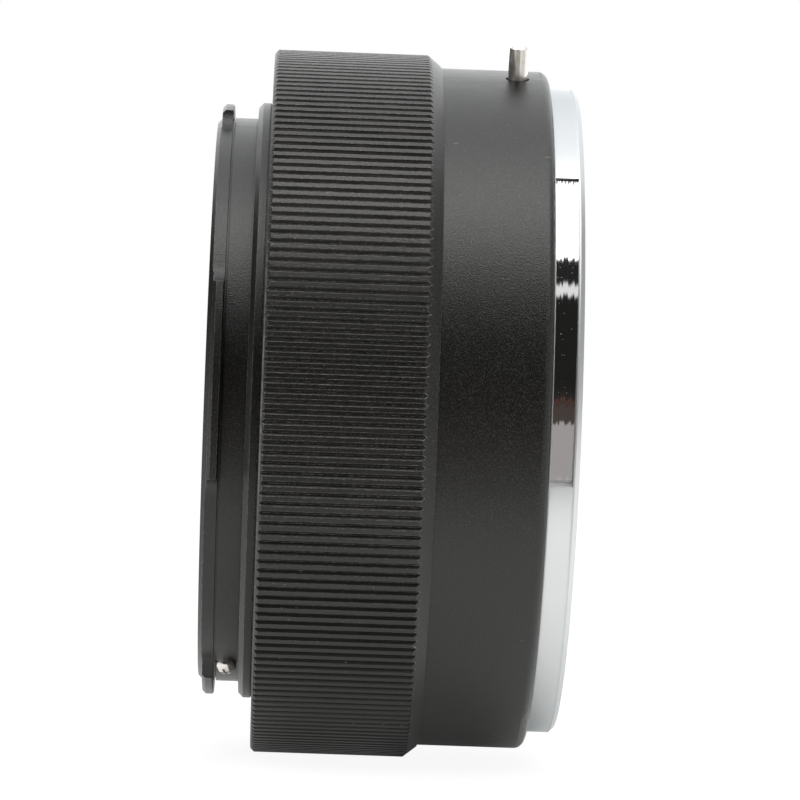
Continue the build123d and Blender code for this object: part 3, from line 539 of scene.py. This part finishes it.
def index_paint():
    """Red enamel filled into a drilled recess."""
    s = Surface("red_enamel")
    peel = s.noise(s.place, ENAMEL_PEEL_SCALE, 2.0)
    colour = s.mix(s.noise(s.place, ENAMEL_SCALE), *ENAMEL_TINTS)
    return s.finish(colour, s.blend(peel, *ENAMEL_ROUGHNESS), s.bump(peel, ENAMEL_DEPTH))


LOOKS = {
    "black_anodised": black_anodising,
    "blackened_steel": blackened_steel,
    "bright_steel": bright_steel,
    "spring_steel": spring_steel,
    "slider_brass": slider_brass,
    "plated_brass": plated_brass,
    "slip_plastic": slip_plastic,
    "index_paint": index_paint,
}


def dress_nodes():
    """Gives every CAD node the look of its material slot, and returns the looks by slot."""
    slots = {part["node"]: part["material_slot"] for part in frame["record"]["subparts"]}
    made = {}
    for name, node in frame["nodes"].items():
        slot = slots[name]
        if slot not in made:
            made[slot] = LOOKS[slot]()
        node.data.materials.clear()
        node.data.materials.append(made[slot])
    return made


# Coil of the lens lock: its wire, its turns, and facets to a turn and around the wire
SPRING_WIRE_R = 0.14 * MM
SPRING_TURNS = 5
SPRING_STEPS = 48
SPRING_SIDES = 12


def make_lock_spring(material):
    """Coil under the lock slider."""
    low, high = (Vector(corner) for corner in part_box("lock_spring"))
    centre = (low + high) / 2
    coil_r = (high.y - low.y) / 2 - SPRING_WIRE_R
    rise = high.z - low.z - 2 * SPRING_WIRE_R
    count = SPRING_TURNS * SPRING_STEPS + 1
    slope = rise / (SPRING_TURNS * 2 * math.pi * coil_r)
    points = []
    for i in range(count):
        angle = 2 * math.pi * i / SPRING_STEPS
        out = Vector((math.cos(angle), math.sin(angle), 0.0))
        upright = Vector((math.sin(angle) * slope, -math.cos(angle) * slope, 1.0)).normalized()
        middle = Vector((centre.x, centre.y, low.z + SPRING_WIRE_R + rise * i / (count - 1))) + out * coil_r
        for j in range(SPRING_SIDES):
            turn = 2 * math.pi * j / SPRING_SIDES
            points.append(middle + (out * math.cos(turn) + upright * math.sin(turn)) * SPRING_WIRE_R)
    faces = []
    for i in range(count - 1):
        near, far = i * SPRING_SIDES, (i + 1) * SPRING_SIDES
        for j in range(SPRING_SIDES):
            k = (j + 1) % SPRING_SIDES
            faces.append((near + j, far + j, far + k, near + k))
    wall_count = len(faces)
    faces.append(tuple(range(SPRING_SIDES)))
    faces.append(tuple(reversed(range((count - 1) * SPRING_SIDES, count * SPRING_SIDES))))
    mesh = bpy.data.meshes.new("lock_spring_coil")
    mesh.from_pydata(points, [], faces)
    for face in mesh.polygons[:wall_count]:
        face.use_smooth = True
    mesh.materials.append(material)
    coil = bpy.data.objects.new("lock_spring_coil", mesh)
    bpy.context.scene.collection.objects.link(coil)
    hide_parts("lock_spring")
    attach(coil, "body")
    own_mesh(coil)


# Studio, by the angle about the part's axis: 0 is the viewer, 90 straight up, 180 behind
STUDIO = (
    (-180, (1.94, 1.96, 1.97)),
    (-90, (0.05, 0.05, 0.05)),
    (-10, (0.060, 0.048, 0.042)),
    (-1.5, (0.045, 0.036, 0.032)),
    (0.0, (0.105, 0.055, 0.042)),
    (1.5, (0.030, 0.026, 0.024)),
    (6, (0.018, 0.018, 0.017)),
    (37, (0.018, 0.018, 0.017)),
    (37.4, (1.0, 1.0, 0.98)),
    (41.0, (1.0, 1.0, 0.98)),
    (41.4, (0.022, 0.022, 0.021)),
    (51.2, (0.022, 0.022, 0.021)),
    (51.8, (3.6, 3.6, 3.54)),
    (85, (3.6, 3.6, 3.54)),
    (92, (1.34, 1.36, 1.37)),
    (142, (1.42, 1.44, 1.45)),
    (166, (1.86, 1.88, 1.89)),
    (180, (1.94, 1.96, 1.97)),
)

# Left and right sides of the studio. Limits are parts of a direction: along the axis, up or towards the viewer.
SIDE_LIMITS = (0.56, 0.72)
SIDE_SPLIT = (-0.1, 0.1)
LEFT_SIDE = (0.035, 0.035, 0.034)
LEFT_HORIZON = (0.95, 0.95, 0.94)
LEFT_HORIZON_HEIGHTS = (0.12, 0.26, 1.0, 0.0)
LEFT_HORIZON_FRONT = (-0.22, -0.12)
RIGHT_SIDE = (0.46, 0.46, 0.45)
RIGHT_END = (0.62, 0.62, 0.61)
RIGHT_END_LIMITS = (0.955, 0.985)
BACKDROP_FRONT = (-0.35, -0.65)
BACKDROP_WIDER = (-0.1, 0.1, 0.0, 0.25)
BELOW_SOFT_BOX = (math.radians(51.0), math.radians(49.0))
RIGHT_SIDE_WIDER = (0.15, 0.35, 0.0, 0.28)


def make_studio():
    """World that lights the part as a soft box and a backdrop do, and is white to the camera."""
    world = bpy.data.worlds.new("studio")
    bpy.context.scene.world = world
    world.use_nodes = True
    t = Tree(world.node_tree)
    direction = t.add("ShaderNodeTexCoord").outputs["Generated"]
    right = t.dot(direction, RIGHT)
    up = t.dot(direction, UP)
    front = t.dot(direction, TO_VIEWER)
    turn = t.math("ARCTAN2", up, front)
    wider_backdrop = t.times(t.step(front, *BACKDROP_FRONT), t.step(right, *BACKDROP_WIDER))
    wider_side = t.times(t.step(t.absolute(turn), *BELOW_SOFT_BOX), t.step(right, *RIGHT_SIDE_WIDER))
    along = t.math("ADD", t.minus(t.absolute(right), wider_backdrop), wider_side)
    share = t.math("MULTIPLY_ADD", turn, 0.5 / math.pi, 0.5)
    middle = t.ramp(share, [(angle / 360 + 0.5, colour) for angle, colour in STUDIO])
    low = t.times(t.step(t.absolute(up), *LEFT_HORIZON_HEIGHTS), t.step(front, *LEFT_HORIZON_FRONT))
    left_side = t.mix(low, LEFT_SIDE, LEFT_HORIZON)
    right_side = t.mix(t.step(right, *RIGHT_END_LIMITS), RIGHT_SIDE, RIGHT_END)
    side = t.mix(t.step(right, *SIDE_SPLIT), left_side, right_side)
    light = t.mix(t.step(along, *SIDE_LIMITS), middle, side)
    studio = t.add("ShaderNodeBackground", {"Color": light, "Strength": 1.0}).outputs[0]
    white = t.add("ShaderNodeBackground", {"Color": (1, 1, 1, 1), "Strength": 1.0}).outputs[0]
    seen = t.add("ShaderNodeLightPath").outputs["Is Camera Ray"]
    mixed = t.add("ShaderNodeMixShader", {0: seen, 1: studio, 2: white})
    t.add("ShaderNodeOutputWorld", {"Surface": mixed.outputs[0]})


# Table: its bright part, the darker zones where that ends towards the viewer and aside, which are painted shade,
# and its far part and edge
TABLE_HALF = 1.5
TABLE_TINTS = ((0.95, 0.95, 0.935), (0.315, 0.296, 0.290), (0.055, 0.044, 0.038))
TABLE_BRIGHT_REACH = (67 * MM, 83 * MM)
TABLE_SKEW_AT = (24 * MM, 29 * MM)
TABLE_SKEW = (-6 * MM, 7 * MM)
TABLE_EDGE_REACH = (266 * MM, 292.6 * MM)
TABLE_ASIDE = (40 * MM, 130 * MM)
TABLE_ASIDE_REACH = (20 * MM, 45 * MM)
TABLE_ASIDE_SHADE_TINT = (0.57, 0.57, 0.56)
TABLE_FRONT_SLOPE = 0.6
TABLE_FRONT_LIMITS = (0.0, 20 * MM)

# Light from the table: its diffuse share, its own glow, and how much of the glow the part's shadow takes
TABLE_DIFFUSE = 0.62
TABLE_GLOW = 0.52
SHADOW_DEPTH = 0.42
SHADOW_HALF = (2 * MM, 24 * MM)
SHADOW_ENDS = (1 * MM, 29 * MM)
SHADOW_SOFT = 6 * MM
SHADOW_DEEPER = (12 * MM, 18 * MM)
SHADOW_UNDER_RING = 0.64

# Table as the camera sees it
SEEN_DIFFUSE = (0.10, 0.10, 0.10, 1)
SEEN_GLOW = 0.925


def make_table():
    """White table under the ribbed rim. To the camera it is white with a faint shadow, also against the light."""
    corners = [
        TO_VIEWER * (i * TABLE_HALF) + RIGHT * (j * TABLE_HALF) - UP * RING_R
        for i, j in ((-1, -1), (-1, 1), (1, 1), (1, -1))
    ]
    mesh = bpy.data.meshes.new("table")
    mesh.from_pydata(corners, [], [(0, 1, 2, 3)])
    table = bpy.data.objects.new("table", mesh)
    bpy.context.scene.collection.objects.link(table)
    if mesh.polygons[0].normal.dot(UP) < 0:
        mesh.flip_normals()
    material = bpy.data.materials.new("white_table")
    material.use_nodes = True
    t = Tree(material.node_tree)
    place = t.add("ShaderNodeTexCoord").outputs["Object"]
    reach = t.dot(place, TO_VIEWER)
    along = t.dot(place, RIGHT)
    aside = t.absolute(along)
    skew = t.step(along, *TABLE_SKEW_AT, *TABLE_SKEW)
    # Painted shade: the table is darker beyond its bright part, towards the viewer and aside.
    shade = t.mix(t.step(t.minus(reach, skew), *TABLE_BRIGHT_REACH), TABLE_TINTS[0], TABLE_TINTS[1])
    shade = t.mix(t.step(reach, *TABLE_EDGE_REACH), shade, TABLE_TINTS[2])
    dimmed = t.times(t.step(aside, *TABLE_ASIDE), t.step(reach, *TABLE_ASIDE_REACH))
    ahead = t.step(t.minus(t.times(reach, TABLE_FRONT_SLOPE), aside), *TABLE_FRONT_LIMITS)
    paper_and_shade = t.mix(ahead, t.mix(dimmed, TABLE_TINTS[0], TABLE_ASIDE_SHADE_TINT), shade)
    under = t.times(t.step(t.absolute(reach), *SHADOW_HALF, 1.0, 0.0), t.band(along, *SHADOW_ENDS, SHADOW_SOFT))
    under = t.times(under, t.step(along, *SHADOW_DEEPER, SHADOW_UNDER_RING, 1.0))
    kept = t.math("MULTIPLY_ADD", under, -SHADOW_DEPTH, TABLE_GLOW)
    soft = t.add("ShaderNodeBsdfDiffuse", {"Color": t.mix(TABLE_DIFFUSE, (0, 0, 0), paper_and_shade)}).outputs[0]
    fill = t.add("ShaderNodeEmission", {"Color": paper_and_shade, "Strength": kept}).outputs[0]
    lit = t.add("ShaderNodeAddShader", {0: soft, 1: fill}).outputs[0]
    faint = t.add("ShaderNodeBsdfDiffuse", {"Color": SEEN_DIFFUSE}).outputs[0]
    glow = t.add("ShaderNodeEmission", {"Color": (1, 1, 1, 1), "Strength": SEEN_GLOW}).outputs[0]
    white = t.add("ShaderNodeAddShader", {0: faint, 1: glow}).outputs[0]
    clear = t.add("ShaderNodeBsdfTransparent").outputs[0]
    behind = t.add("ShaderNodeNewGeometry").outputs["Backfacing"]
    shown = t.add("ShaderNodeMixShader", {0: behind, 1: white, 2: clear}).outputs[0]
    seen = t.add("ShaderNodeLightPath").outputs["Is Camera Ray"]
    mixed = t.add("ShaderNodeMixShader", {0: seen, 1: lit, 2: shown})
    t.add("ShaderNodeOutputMaterial", {"Surface": mixed.outputs[0]})
    mesh.materials.append(material)


def make_camera():
    """Camera at the photograph's place, turned so that the part's pivot falls on its pixel."""
    turn = Matrix.Rotation(CAMERA_ROLL, 3, "Z") @ Matrix.Rotation(CAMERA_YAW, 3, "Y")
    right, up, back = (RIGHT * row[0] + UP * row[1] + TO_VIEWER * row[2] for row in turn)
    offset_x = (IMAGE_SIZE / 2 - PIVOT_PX[0]) / FOCAL_PX
    offset_y = (PIVOT_PX[1] - IMAGE_SIZE / 2) / FOCAL_PX
    aim = (right * offset_x + up * offset_y - back).normalized()
    side = aim.cross(up).normalized()
    top = side.cross(aim)
    data = bpy.data.cameras.new("camera")
    data.sensor_width = SENSOR_MM
    data.lens = FOCAL_PX / IMAGE_SIZE * SENSOR_MM
    data.clip_start, data.clip_end = CLIP
    camera = bpy.data.objects.new("camera", data)
    bpy.context.scene.collection.objects.link(camera)
    pose = Matrix((side, top, -aim)).transposed().to_4x4()
    camera.matrix_world = Matrix.Translation(PIVOT + back * CAMERA_DISTANCE) @ pose
    bpy.context.scene.camera = camera


looks = dress_nodes()
make_lock_spring(looks["spring_steel"])
make_studio()
make_table()
make_camera()
bpy.context.scene.view_settings.view_transform = "Standard"
